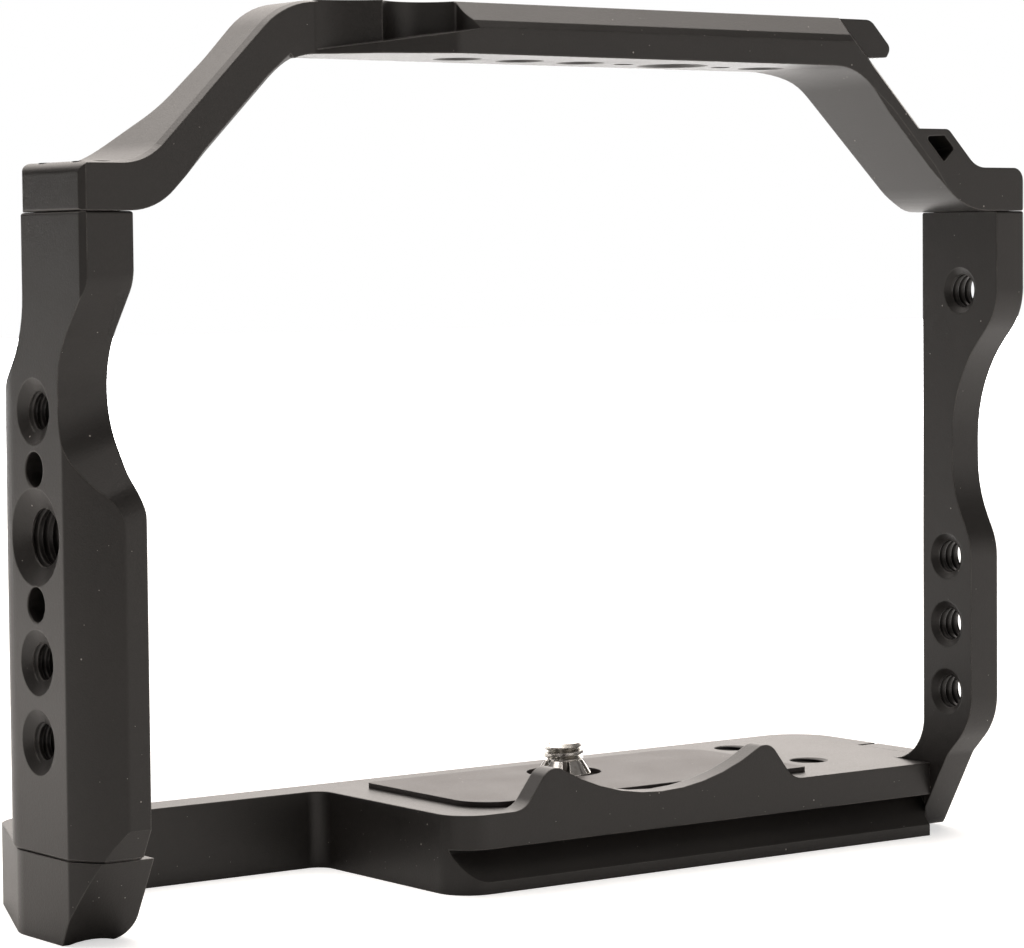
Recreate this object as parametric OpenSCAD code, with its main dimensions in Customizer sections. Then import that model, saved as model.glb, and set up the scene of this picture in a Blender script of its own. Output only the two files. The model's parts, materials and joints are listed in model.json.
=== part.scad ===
// Camera cage: a top frame, two side posts and a base plate, all machined from aluminium and screwed
// together, that go round a camera body. The camera sits on a rubber pad, held by one captive 1/4 inch screw.
// Millimetres. X runs across the cage to the viewer's right, Y from the lens side to the rear, Z up.

/* [Cage] */
// Overall width over both sides
cage_w = 170.1; // [160:0.1:190]
// Overall depth from the top bar's front to the base's rear edge
cage_d = 60; // [56:0.1:70]
// Overall height
cage_h = 132.6; // [124:0.1:150]

/* [Camera] */
// Lens axis to the far post's inner face
lens_to_post = 56.2; // [50:0.1:62]
// Camera screw axis to the rear edge of the base
screw_to_rear = 18.2; // [15:0.1:22]

/* [Base plate] */
// Thickness of the base plate
base_h = 12.1; // [11:0.1:14]
// Length of the main block, which leaves the battery door clear on the grip side
block_w = 95; // [88:0.1:104]
// Depth of the main block
block_d = 43.9; // [40:0.1:46]
// Thickness of the bar behind the battery door
rear_bar_t = 6.3; // [5:0.1:9]
// Thickness of the side arm that carries the grip-side post
side_arm_t = 8.5; // [7:0.1:10]
// How far the far post's foot tab stands outside the post
tab_proud = 3.85; // [3.2:0.05:5]
// Height of the flange peaks over the base's top, before they are rounded
flange_h = 6.8; // [5:0.1:9]
// Thickness of the flange
flange_t = 3.4; // [2.5:0.1:4.2]
// Radius of the flange's lens cut-out
flange_r = 39.5; // [36:0.5:46]
// Depth of the dovetail groove
groove_d = 3.6; // [2.6:0.1:4.6]
// Height of the groove's upper lip over the floor
groove_top = 6.85; // [6:0.05:7.6]
// Height of the groove's lower lip over the floor
groove_low = 1.8; // [1.2:0.05:2.6]

/* [Posts] */
// Grip-side post, thickness of the part with the holes
grip_t = 9.4; // [8.6:0.1:11]
// Grip-side post, thickness at the top
grip_top_t = 7.9; // [7.2:0.1:8.4]
// Grip-side post, depth at the top
grip_top_d = 17.6; // [15:0.1:20]
// Grip-side post, depth of the lower part
grip_d = 27.3; // [26.5:0.05:28]
// Setback of the grip-side post's front from the cage's front
grip_setback = 10.95; // [9:0.05:12]
// Radius of the finger scallop in the grip-side post
scallop_r = 12.4; // [9:0.1:14]
// Depth of the finger scallop
scallop_d = 7.7; // [7.2:0.1:8.4]
// Thickness of the far post
far_t = 5.75; // [5.2:0.05:7]
// Depth of the far post at the top
far_top_d = 17.5; // [15.5:0.1:20]

/* [Top frame] */
// Height of the top frame, from the seam to its top
top_h = 30; // [27:0.1:34]
// Thickness of the top bar
bar_t = 7.7; // [7:0.1:9]
// Thickness of the sloping arms
arm_t = 5.95; // [5.2:0.05:6.4]
// Height of the grip-side end block
grip_block_h = 6.9; // [6:0.1:8]
// Height of the far end block
far_block_h = 6.9; // [6:0.1:8]
// Depth of the narrow bar and arm
bar_d = 9.8; // [9:0.1:12]
// Width of the strap slot
strap_slot_w = 3; // [2:0.1:3.2]

/* [Accessory holes] */
// Thread bore of a 1/4-20 hole
quarter_bore = 5.2; // [5.1:0.05:5.4]
// Thread bore of a 3/8-16 hole
three_eighths_bore = 8; // [7.9:0.05:8.2]
// Countersink of a 1/4 inch hole in the grip-side post
quarter_sink = 9.4; // [7:0.1:10]
// Countersink of the 3/8 inch hole in the grip-side post
three_eighths_sink = 13.9; // [10:0.1:14.2]
// Countersink of the 1/4 inch holes in the far post, top bar and base
plain_sink = 7.5; // [6.6:0.1:8.2]
// Countersink of the 3/8 inch hole in the top bar
bar_sink = 11.1; // [9:0.1:12]
// Bore of the locating pin holes beside a 3/8 inch hole
pin_bore = 5; // [4.8:0.05:5.2]
// Depth of the locating pin holes
pin_depth = 4.4; // [3.6:0.1:5]
// Distance from a 3/8 inch hole to its locating pin holes
pin_pitch = 9.525; // [9.5:0.005:9.55]
// Distance from a 3/8 inch hole to the 1/4 inch holes beside it
quarter_pitch = 17.7; // [17:0.05:19]
// Distance between neighbouring 1/4 inch holes
row_pitch = 11.3; // [11:0.05:12.5]

/* [Camera screw] */
// Outer diameter of the camera screw's thread
thread_d = 6.35; // [6.2:0.01:6.4]
// Diameter of the camera screw's head
head_d = 13.5; // [11:0.1:14]
// Height of the camera screw's head
head_h = 4; // [3.2:0.1:4.4]
// Overall length of the camera screw
screw_len = 17.7; // [17:0.1:19]
// Diameter of the neck that the clip sits on
neck_d = 4.9; // [4.5:0.05:5.2]
// Outside diameter of the retaining clip
clip_d = 8.8; // [8:0.1:10]
// Height of the retaining clip's underside over the floor, with the screw head standing on the floor
clip_z = 12.3; // [11.5:0.1:12.8]
// Thickness of the retaining clip
clip_t = 0.5; // [0.4:0.05:0.7]

/* [Rubber pad] */
// Thickness of the pad
pad_t = 0.8; // [0.5:0.05:1.5]
// Length of the pad
pad_w = 65.5; // [60:0.1:68]
// Depth of the pad
pad_d = 30.9; // [26:0.1:32]

/* [Fasteners] */
// Diameter of the grip-side post's top screws and of the screws at the base's far end
joint_screw_d = 3; // [2.5:0.1:3.5]
// Diameter of the screws that go up through the base's foot
foot_screw_d = 4; // [3:0.1:4.2]
// Diameter of the far post's top screws
slim_screw_d = 2.5; // [2:0.1:2.8]
// Diameter of the locating dowels
dowel_d = 2; // [1.5:0.1:2.5]
// Length of the locating dowels
dowel_len = 8; // [6:0.1:9]

/* [Clearances] */
// Radial gap round a screw's shank, a screw's head and the camera screw in its web
screw_gap = 0.2; // [0.1:0.05:0.4]
// Radial gap between the clip and the camera screw's neck
neck_gap = 0.05; // [0.02:0.01:0.1]
// Face gap between pieces that are screwed together
seam_gap = 0.05; // [0:0.01:0.1]

/* [Hidden] */

ANODISED = "#3a3735";
RUBBER = "#2c2625";
STEEL = "#c9c7c2";
BLACK_STEEL = "#1f1e1e";

$fn = 64;
eps = 0.01;
arc_step = 6;
slant = sqrt(2);

// Stations along X
grip_x = -cage_w / 2;
tab_x = cage_w / 2;
far_x = tab_x - tab_proud;
far_in = far_x - far_t;
grip_in = grip_x + grip_t;
grip_top_in = grip_x + grip_top_t;
lens_x = far_in - lens_to_post;
block_x = far_in - block_w;
foot_in = grip_in + 1.8;

// Stations along Y
front_y = -cage_d / 2;
rear_y = cage_d / 2;
screw_y = rear_y - screw_to_rear;
block_y = rear_y - block_d;
grip_y = front_y + grip_setback;
grip_top_rear = grip_y + grip_top_d;
grip_rear = grip_y + grip_d;
far_top_rear = front_y + far_top_d;
lean_y = grip_y + 21.65;

// Sideways run of the side arm for each millimetre of depth, from lean_y to the rear
arm_lean = 0.4216;

// Stations along Z
seam_z = cage_h - top_h;
bar_z = cage_h - bar_t;
post_z = base_h + seam_gap;

// Accessory holes
grip_hole_y = grip_y + 15;
grip_hole_z = seam_z - 45.5;
scallop_z = seam_z - 24.3;
bar_hole_y = front_y + 12.5;
far_hole_y = front_y + 12;
far_upper_y = front_y + 8.7;
far_upper_z = seam_z - 12.7;
far_row_z = base_h + 12.2;
far_row_pitch = 11.1;
base_hole_x = far_in - 13.35;
base_hole_y = [rear_y - 9.1, rear_y - 28.9];

// Camera screw and its seat
web_top = base_h - 4.5;
web_low = head_h + 1;
seat_d = 12;
clip_tab_h = 2.1;

// Dovetail groove
groove_floor = 53;

// Joining screws: places on each seam, and how far each one reaches
grip_screw_x = grip_x + grip_top_t / 2;
grip_top_screw_y = [grip_y + 4, grip_top_rear - 4];
far_screw_x = far_in + far_t / 2 - 0.2;
far_top_screw_y = [front_y + 4.5, far_top_rear - 4];
foot_screw_x = grip_x + 5.45;
foot_screw_y = [grip_y + 13.3, grip_rear - 3.3];
tab_screw_y = [front_y + 29.5, front_y + 37];
tab_screw_z = base_h / 2 + 0.4;
tab_y = [front_y + 16, front_y + 40.4];
tab_in = far_x - 0.1;
tab_wall = tab_x - tab_in;
joint_head_d = 1.83 * joint_screw_d;
foot_head_d = 1.75 * foot_screw_d;
slim_head_d = 1.84 * slim_screw_d;
sink_len = 10;
top_screw_len = 12;
foot_screw_len = 16;
foot_sink = 4.4;
hex_depth = 1.3;
screw_end_room = 0.5;

function xy(p) = [p.x, p.y];
function unit(v) = v / norm(v);

// One corner of an outline, at p between a and b, rounded to radius r
function corner(a, p, b, r) =
    let (u = unit(a - p), v = unit(b - p), half = acos(u * v) / 2)
    r <= 0 || half > 89.5 ? [p] :
    let (
        centre = p + unit(u + v) * r / sin(half),
        from = p + u * r / tan(half) - centre,
        sweep = (cross(p - a, b - p) > 0 ? 1 : -1) * (180 - 2 * half),
        n = max(2, ceil(abs(sweep) / arc_step))
    )
    [for (i = [0:n]) let (t = sweep * i / n)
        centre + [from.x * cos(t) - from.y * sin(t), from.x * sin(t) + from.y * cos(t)]];

// Outline through points given as [x, y, corner radius]
module outline(points) {
    n = len(points);
    polygon([for (i = [0:n - 1]) each corner(
        xy(points[(i + n - 1) % n]), xy(points[i]), xy(points[(i + 1) % n]), points[i][2])]);
}

// An outline in X and Z, as thick as the stretch of Y
module along_y(y0, y1) {
    translate([0, y1, 0]) rotate([90, 0, 0]) linear_extrude(y1 - y0) children();
}

// An outline in Y and Z, as thick as the stretch of X
module along_x(x0, x1) {
    translate([x0, 0, 0]) rotate([90, 0, 90]) linear_extrude(x1 - x0) children();
}

// An outline in X and Y, as thick as the stretch of Z
module along_z(z0, z1) {
    translate([0, 0, z0]) linear_extrude(z1 - z0) children();
}

// Through hole up the Z axis with a 90 degree countersink at each end
module sunk_bore(bore, length, sink_top, sink_low) {
    sink_slope = tan(30);
    top_h = sink_slope * (sink_top - bore) / 2;
    low_h = sink_slope * (sink_low - bore) / 2;
    translate([0, 0, -eps]) cylinder(d = bore, h = length + 2 * eps);
    translate([0, 0, length - top_h]) cylinder(d1 = bore, d2 = sink_top + 2 * eps, h = top_h + eps);
    translate([0, 0, -eps]) cylinder(d1 = sink_low + 2 * eps, d2 = bore, h = low_h + eps);
}

// Locating pin hole with its mouth at z = length and a small vent through the rest
module pin_hole(length) {
    chamfer = 0.1;
    vent = 3.1;
    translate([0, 0, length - pin_depth]) cylinder(d = pin_bore, h = pin_depth + eps);
    translate([0, 0, length - chamfer]) cylinder(d1 = pin_bore, d2 = pin_bore + 2 * chamfer + 2 * eps,
        h = chamfer + eps);
    translate([0, 0, -eps]) cylinder(d = vent, h = length);
}

// A hole pointing out of the grip side: its mouth is at the outer face
module out_of_grip_side(y, z) {
    translate([grip_in, y, z]) rotate([0, -90, 0]) children();
}

// Countersunk screw with a hex socket, standing head up on z = 0
module sunk_screw(d, head, length) {
    cone = (head - d) / 2;
    rim = 0.2;
    difference() {
        union() {
            translate([0, 0, -length]) cylinder(d = d, h = length - rim);
            translate([0, 0, -cone - rim]) cylinder(d1 = d, d2 = head, h = cone);
            translate([0, 0, -rim]) cylinder(d = head, h = rim);
        }
        translate([0, 0, -hex_depth]) cylinder(d = d * 0.72, h = hex_depth + eps, $fn = 6);
    }
}

// Room for a countersunk screw whose head is flush with z = 0: clear down to grip_from, threaded below that
module sunk_screw_room(d, head, length, grip_from) {
    cone = (head - d) / 2;
    rim = 0.25;
    translate([0, 0, -length - screw_end_room]) cylinder(d = d, h = length + screw_end_room);
    translate([0, 0, -grip_from]) cylinder(d = d + 2 * screw_gap, h = grip_from);
    translate([0, 0, -cone - rim]) cylinder(d1 = d + 2 * screw_gap, d2 = head + 2 * screw_gap, h = cone);
    translate([0, 0, -rim]) cylinder(d = head + 2 * screw_gap, h = rim + eps);
}

// Socket head screw, its head's top on z = 0
module cap_screw(d, head, length) {
    difference() {
        union() {
            translate([0, 0, -d]) cylinder(d = head, h = d);
            translate([0, 0, -d - length]) cylinder(d = d, h = length + eps);
        }
        translate([0, 0, -d * 0.55]) cylinder(d = d * 0.95, h = d * 0.55 + eps, $fn = 6);
    }
}

module dowel() {
    cylinder(d = dowel_d, h = dowel_len, center = true);
}

module dowel_hole() {
    fit = 0.02;
    end_room = 0.3;
    cylinder(d = dowel_d + fit, h = dowel_len + 2 * end_room, center = true);
}

// ---- Places of the joining pieces ----

module at_grip_top(i) {
    translate([grip_screw_x, grip_top_screw_y[i], seam_z + grip_block_h]) children();
}

module at_far_top(i) {
    translate([far_screw_x, far_top_screw_y[i], seam_z + far_block_h]) children();
}

module at_grip_foot(i) {
    translate([foot_screw_x, foot_screw_y[i], 0]) mirror([0, 0, 1]) children();
}

module at_far_tab(i) {
    translate([tab_x, tab_screw_y[i], tab_screw_z]) rotate([0, 90, 0]) children();
}

module at_grip_top_dowel() {
    translate([grip_screw_x, (grip_top_screw_y[0] + grip_top_screw_y[1]) / 2, seam_z]) children();
}

module at_far_top_dowel() {
    translate([far_screw_x, (far_top_screw_y[0] + far_top_screw_y[1]) / 2, seam_z]) children();
}

module at_grip_foot_dowel() {
    translate([foot_screw_x, (foot_screw_y[0] + foot_screw_y[1]) / 2, base_h]) children();
}

module at_far_tab_dowel() {
    middle_y = (tab_screw_y[0] + tab_screw_y[1]) / 2;
    translate([tab_in - 0.5, middle_y, tab_screw_z]) rotate([0, 90, 0]) children();
}

module grip_top_screw(i) {
    color(BLACK_STEEL) at_grip_top(i) sunk_screw(joint_screw_d, joint_head_d, top_screw_len);
}

module far_top_screw(i) {
    color(BLACK_STEEL) at_far_top(i) sunk_screw(slim_screw_d, slim_head_d, top_screw_len);
}

module grip_base_screw(i) {
    color(BLACK_STEEL) at_grip_foot(i) translate([0, 0, -foot_sink + foot_screw_d])
        cap_screw(foot_screw_d, foot_head_d, foot_screw_len);
}

module far_base_screw(i) {
    color(BLACK_STEEL) at_far_tab(i) sunk_screw(joint_screw_d, joint_head_d, sink_len);
}

// ---- Top frame ----

// Slanting planes of the arms: z - x is constant on the grip side, z + x on the far side
grip_arm_top = seam_z + grip_block_h - (grip_top_in + 2.25);
grip_arm_low = grip_arm_top - arm_t * slant;
far_arm_low = seam_z + far_x - 12.8;
far_arm_top = far_arm_low + arm_t * slant;
strap_top = seam_z + 12.9;

block_top = seam_z + grip_block_h;
grip_arm_high_r = 13;
grip_arm_foot_r = 9;

// Front view of the top frame
module top_profile() {
    far_top = seam_z + far_block_h;
    outline([
        [grip_x, seam_z + seam_gap, 0.4],
        [seam_z - grip_arm_low, seam_z + seam_gap, 10],
        [bar_z - grip_arm_low, bar_z, 10.5],
        [far_arm_low - bar_z, bar_z, 11],
        [far_arm_low - seam_z, seam_z + seam_gap, 12],
        [far_x, seam_z + seam_gap, 0.4],
        [far_x, far_top, 2],
        [far_arm_top + 1.1 - far_top, far_top, 4.5],
        [far_arm_top + 1.1 - strap_top, strap_top, 1.5],
        [far_arm_top - strap_top, strap_top, 0],
        [far_arm_top - bar_z - 1.7, bar_z + 1.7, 0],
        [far_arm_top - bar_z + 2.2, bar_z + 1.9, 0.6],
        [far_arm_top - bar_z + 3.1, bar_z + 3.4, 1.2],
        [far_arm_top - cage_h + 6.6, cage_h, 2.5],
        [cage_h - grip_arm_top, cage_h, grip_arm_high_r],
        [block_top - grip_arm_top, block_top, grip_arm_foot_r],
        [grip_x, block_top, 1.8]
    ]);
}

// Chamfer along the outer front edge of the grip side: this far back, and half of it inwards
edge_run = 1.2;

// Plan of the top frame. The bar steps forward from the grip side to its full depth over the lens.
cove_x = lens_x - 52.7;
module top_plan() {
    narrow_rear = grip_y + bar_d;
    wide_rear = front_y + 20.6;
    outline([
        [grip_x, grip_y + edge_run, 0],
        [grip_x + edge_run / 2, grip_y, 0],
        [cove_x - 13.35, grip_y, 1],
        [cove_x - 6.45, front_y + 4.9, 2],
        [cove_x + 4, front_y, 3],
        [far_x, front_y, 0],
        [far_x, far_top_rear, 1],
        [far_x - 8, far_top_rear, 4],
        [far_x - 13.5, far_top_rear - 1.8, 6],
        [far_x - 33, far_top_rear - 0.6, 8],
        [far_x - 38, wide_rear, 5],
        [grip_x + 36, narrow_rear, 5],
        [grip_x + 25, narrow_rear - 1, 5],
        [grip_x + 18, narrow_rear, 6],
        [grip_x + 11.5, grip_top_rear, 4],
        [grip_x, grip_top_rear, 0.8]
    ]);
}

// What is cut away above the lower lip: the hollow shoulder and the finger cove beside the wide bar
module lip_cut() {
    lip_z = bar_z + 1.3;
    rise = 8;
    difference() {
        along_y(front_y - 1, grip_y) polygon([
            [cove_x - 20, lip_z - 1.6], [cove_x + 14, lip_z + 1.2 + rise * 0.25], [cove_x + 14, cage_h + 1],
            [cove_x - 20, cage_h + 1]
        ]);
        translate([0, 0, bar_z - 1]) linear_extrude(bar_t + 3) difference() {
            outline([
                [cove_x - 21, grip_y + 1, 0],
                [cove_x - 21, grip_y, 0],
                [cove_x - 6.95, grip_y, 13.5],
                [cove_x - 3, front_y + 4.1, 0],
                [cove_x + 6.3, front_y + 4.1, 0],
                [cove_x + 6.3, front_y, 3.6],
                [cove_x + 15, front_y - 2, 0],
                [cove_x + 15, grip_y + 1, 0]
            ]);
            translate([cove_x, front_y + 2.5]) circle(r = 6.3);
        }
    }
}

// The upper front facet of the bar, which turns down along the far arm and stops at the strap eye
module front_facet() {
    facet_h = 3.4;
    facet_d = 4.4;
    facet_z = cage_h - facet_h;
    edge_h = 0.5;
    edge_d = 0.35;
    arm_facet_low = 2.2;
    arm_facet_rise = 0.72;
    along_x(cove_x + 4, tab_x) polygon([
        [front_y - 1, facet_z - facet_h / facet_d], [front_y + 2 * facet_d, facet_z + 2 * facet_h],
        [front_y - 1, facet_z + 9]
    ]);
    along_x(cove_x + 4, far_arm_top - cage_h + 1) polygon([
        [front_y - edge_d, facet_z - 2 * edge_h], [front_y + 3 * edge_d, facet_z + 2 * edge_h],
        [front_y - edge_d, facet_z + 2 * edge_h]
    ]);
    intersection() {
        translate([far_arm_low - strap_top, front_y, strap_top]) rotate([0, 45, 0]) along_x(-40, 10) polygon([
            [-1, arm_facet_low - arm_facet_rise], [20, arm_facet_low + 20 * arm_facet_rise], [-1, 20]
        ]);
        along_y(front_y - 2, front_y + 5.3) translate([0, strap_top]) square([far_x, bar_z]);
    }
}

// Chamfer of this size along the X axis, which runs out towards both of its ends
module arm_chamfer(x0, x1, edge) {
    run_out = 5;
    hull() {
        along_x(x0, x1) polygon([[-1, -1], [1, -1], [-1, 1]]);
        along_x(x0 + run_out, x1 - run_out) polygon([[-1, -1], [edge + 1, -1], [-1, edge + 1]]);
    }
}

// Small chamfers along the lower front edges of the sloping arms
module arm_chamfers() {
    translate([far_arm_low - bar_z, front_y, bar_z]) rotate([0, 45, 0]) arm_chamfer(4.6, 27, 0.65);
    translate([bar_z - grip_arm_low, grip_y, bar_z]) rotate([0, -45, 0]) arm_chamfer(-25, 0, 0.45);
}

// Narrow facet along the upper front edge of the block and the grip-side arm, up to the bar
module top_edge_facet() {
    drop = 0.3;
    width = 1.5;
    corner = [[-width, -2 * drop], [-width, drop], [2 * width, drop]];
    turn = tan(22.5);
    high_x = cage_h - grip_arm_top;
    foot_x = block_top - grip_arm_top;
    foot_turn = turn * grip_arm_foot_r;
    high_turn = turn * grip_arm_high_r;
    overlap = 0.4;
    step = 45 / 8;
    chord = grip_arm_high_r * sin(step / 2) + 0.02;
    along_x(grip_x - 1, foot_x - foot_turn + overlap) translate([grip_y, block_top]) polygon(corner);
    translate([foot_x - foot_turn, grip_y, block_top + grip_arm_foot_r]) rotate([90, 0, 0])
        rotate_extrude($fn = 64) polygon([for (p = corner) [grip_arm_foot_r - p[1], -p[0]]]);
    translate([high_x, grip_y, cage_h]) rotate([0, -45, 0])
        along_x(foot_turn - (cage_h - block_top) * slant - overlap, overlap - high_turn) polygon(corner);
    translate([high_x + high_turn, grip_y, cage_h - grip_arm_high_r]) for (i = [0:7])
        rotate([0, step * (i + 0.5) - 45, 0]) along_x(-chord, chord)
            translate([0, grip_arm_high_r * cos(step / 2)]) polygon(corner);
}

module strap_slot() {
    slot_z = seam_z + 7.7;
    near = far_arm_low + 3.4 - slot_z;
    far = near + slant * strap_slot_w;
    along_y(front_y - 1, rear_y) outline([
        [near, slot_z, 0.4], [far - 2.1, slot_z + 2.1, 0.5], [far - 4.2, slot_z + 4.2, 0.4],
        [near - 4, slot_z + 4, 0.4]
    ]);
}

module top_frame() {
    color(ANODISED) difference() {
        intersection() {
            along_y(front_y, rear_y) top_profile();
            along_z(0, cage_h) top_plan();
        }
        lip_cut();
        front_facet();
        arm_chamfers();
        top_edge_facet();
        strap_slot();
        translate([lens_x, bar_hole_y, bar_z]) sunk_bore(three_eighths_bore, bar_t, bar_sink, bar_sink);
        for (side = [-1, 1]) translate([lens_x + side * pin_pitch, bar_hole_y, bar_z]) pin_hole(bar_t);
        for (x = [quarter_pitch, -quarter_pitch, -quarter_pitch - row_pitch, -quarter_pitch - 2 * row_pitch])
            translate([lens_x + x, bar_hole_y, bar_z]) sunk_bore(quarter_bore, bar_t, plain_sink, plain_sink);
        for (i = [0, 1]) {
            at_grip_top(i) sunk_screw_room(joint_screw_d, joint_head_d, top_screw_len, grip_block_h + 1);
            at_far_top(i) sunk_screw_room(slim_screw_d, slim_head_d, top_screw_len, far_block_h + 1);
        }
        at_grip_top_dowel() dowel_hole();
        at_far_top_dowel() dowel_hole();
    }
}

// ---- Grip-side post ----

// Corners of the finger scallop's outline, from its upper end to its lower end
function scallop_corners() =
    let (half = 14, floor_rise = scallop_r * (norm([half, scallop_d + 3.8]) / half - 1))
    [
        [grip_y, scallop_z + half - 0.3, 5],
        [grip_y + scallop_d + floor_rise, scallop_z, scallop_r],
        [grip_y, scallop_z - half - 0.8, 9]
    ];

// Side view of the grip-side post, with the finger scallop blended into its front
module grip_side_view() {
    outline([
        [grip_y, post_z, 0.3],
        [grip_rear, post_z, 0.3],
        [grip_rear, scallop_z - 2.4, 2.5],
        [grip_top_rear, scallop_z + 5, 15.6],
        [grip_top_rear, seam_z, 0.4],
        [grip_y, seam_z, 0.4],
        each scallop_corners()
    ]);
}

// The scallop again, tilted so that its lower flank falls away towards the outer face
module scallop_tilt_cut() {
    tilt = 20;
    reach = 25;
    translate([grip_top_in, 0, scallop_z]) rotate([0, -tilt, 0]) translate([-grip_top_in, 0, -scallop_z])
        along_x(grip_x - 4, grip_in + 4) outline([
            [grip_y, scallop_z + reach, 0],
            each scallop_corners(),
            [grip_y, scallop_z - reach, 0],
            [grip_y - 8, scallop_z - reach, 0],
            [grip_y - 8, scallop_z + reach, 0]
        ]);
}

// Front view of the grip-side post: thin from the scallop upwards
module grip_front_view() {
    step_z = scallop_z - 17.5;
    outline([
        [grip_x, post_z, 0],
        [grip_in, post_z, 0.4],
        [grip_in, step_z, 6],
        [grip_top_in, step_z + 5, 8],
        [grip_top_in, seam_z, 0.4],
        [grip_x, seam_z, 0.4]
    ]);
}

// Plan of the grip-side post, broadly rounded at its outer rear
module grip_plan() {
    outline([
        [grip_x, grip_y, 0],
        [grip_in, grip_y, 0],
        [grip_in, grip_rear, 1],
        [grip_x + 2.6, grip_rear, 0.6],
        [grip_x, grip_rear - 3.1, 9.5]
    ]);
}

// Outer front bevel of the lower post and of the foot below it, slightly bellied
bevel_start = grip_y + 6.95;
bevel_face = grip_x + 5.95;
module bevel_area() {
    difference() {
        translate([grip_x - 2, grip_y - 2]) square([bevel_face + 4 - grip_x, bevel_start + 6 - grip_y]);
        outline([
            [grip_x, bevel_start + 5, 0],
            [grip_x, bevel_start, 1],
            [grip_x + 2.35, bevel_start - 4.45, 14],
            [bevel_face, grip_y, 1],
            [bevel_face + 3, grip_y, 0],
            [bevel_face + 3, bevel_start + 5, 0]
        ]);
    }
}

module bevel_cut(z0, z1) {
    along_z(z0, z1) bevel_area();
}

// Facet that slopes back down the post's foot and on down the base's foot to the floor
facet_top = base_h + 4.5;
facet_run = 9.05;
function foot_facet_y(z) = grip_y + facet_run * (1 - z / facet_top);
module foot_facet() {
    along_x(grip_x - 1, grip_in + 4) polygon([
        [grip_y - 4, -1], [grip_y + facet_run * (1 + 1 / facet_top), -1], [grip_y, facet_top],
        [grip_y - 1, facet_top + facet_top / facet_run], [grip_y - 4, facet_top + 1]
    ]);
}

// Fine groove round the lower end of the post, open on its outer side, its bevel and its front
module seam_groove() {
    groove = 0.28;
    front = foot_facet_y(post_z + groove);
    along_z(post_z - eps, post_z + groove) difference() {
        translate([grip_x - 2, grip_y - 2]) square([grip_in - grip_x + 1, grip_rear + 1 - grip_y]);
        translate([groove, groove]) difference() {
            grip_plan();
            bevel_area();
        }
        translate([grip_in - 4, front + groove]) square([10, 40]);
    }
    along_z(post_z - eps, post_z + groove) translate([grip_x - 2, grip_y - 2])
        square([grip_in - grip_x + 4, front + groove - grip_y + 2]);
}

// Rounded lower edge on the foot's inner side, and a shallow scoop under its front edge
module foot_underside_cut() {
    edge_r = 3.5;
    scoop_w = 7.3;
    scoop_h = 0.5;
    scoop_r = (scoop_w * scoop_w / 4 + scoop_h * scoop_h) / (2 * scoop_h);
    along_y(grip_y - 1, lean_y + 4.6) difference() {
        translate([foot_in - edge_r, -1]) square([edge_r + 1, edge_r + 1]);
        outline([
            [foot_in - 2 * edge_r, 0, 0], [foot_in, 0, edge_r], [foot_in, 2 * edge_r, 0],
            [foot_in - 2 * edge_r, 2 * edge_r, 0]
        ]);
    }
    translate([foot_screw_x - 0.7, grip_y - 1, scoop_h - scoop_r]) rotate([-90, 0, 0])
        cylinder(r = scoop_r, h = foot_screw_y[0] - grip_y);
}

module grip_side_post() {
    color(ANODISED) difference() {
        intersection() {
            along_x(grip_x, grip_in) grip_side_view();
            along_y(grip_y, grip_rear) grip_front_view();
            along_z(0, seam_z) grip_plan();
        }
        scallop_tilt_cut();
        bevel_cut(0, scallop_z);
        foot_facet();
        seam_groove();
        // Outer front edge of the upper part
        along_z(scallop_z, seam_z + 1) polygon([
            [grip_x - 0.5, grip_y - 1], [grip_x + edge_run / 2 + 0.5, grip_y - 1],
            [grip_x - 0.5, grip_y + edge_run + 1]
        ]);
        out_of_grip_side(grip_hole_y, grip_hole_z)
            sunk_bore(three_eighths_bore, grip_t, three_eighths_sink, three_eighths_bore + 1);
        for (side = [-1, 1])
            out_of_grip_side(grip_hole_y, grip_hole_z + side * pin_pitch) pin_hole(grip_t);
        for (z = [quarter_pitch, -quarter_pitch, -quarter_pitch - row_pitch])
            out_of_grip_side(grip_hole_y, grip_hole_z + z)
                sunk_bore(quarter_bore, grip_t, quarter_sink, quarter_bore + 1);
        for (i = [0, 1]) {
            at_grip_top(i) sunk_screw_room(joint_screw_d, joint_head_d, top_screw_len, grip_block_h);
            at_grip_foot(i) translate([0, 0, -foot_sink - foot_screw_len - screw_end_room])
                cylinder(d = foot_screw_d, h = foot_screw_len);
        }
        at_grip_top_dowel() dowel_hole();
        at_grip_foot_dowel() dowel_hole();
    }
}

// ---- Far post ----

foot_knee = 11.8;

// Side view of the far post, with the finger relief in its front and the tab at its foot
module far_side_view() {
    outline([
        [front_y, seam_z, 0.4],
        [front_y, seam_z - 16.1, 9.6],
        [front_y + 10.5, seam_z - 27.3, 23.5],
        [front_y + 10.5, seam_z - 45.2, 20],
        [front_y + 6.1, seam_z - 53.6, 10],
        [front_y + 6.1, base_h + 7.7, 10],
        [front_y + foot_knee, base_h + 1.9, 4],
        [front_y + 19.2, 1, 3],
        [tab_y[1], 1, 2],
        [tab_y[1], base_h, 1],
        [far_top_rear, base_h, 7.5],
        [far_top_rear, seam_z, 0.4]
    ]);
}

// What is cut off the tab's front, so that it slants back from the post's outer face
module tab_front_cut() {
    turn = 48;
    slope = 0.57 * cos(turn);
    drop = 16;
    translate([far_x, front_y + foot_knee, base_h + 1.9]) rotate([0, 0, turn]) along_x(-20, 20) polygon([
        [-30, 1], [-slope, 1], [drop * slope, -drop], [-30, -drop]
    ]);
}

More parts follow.
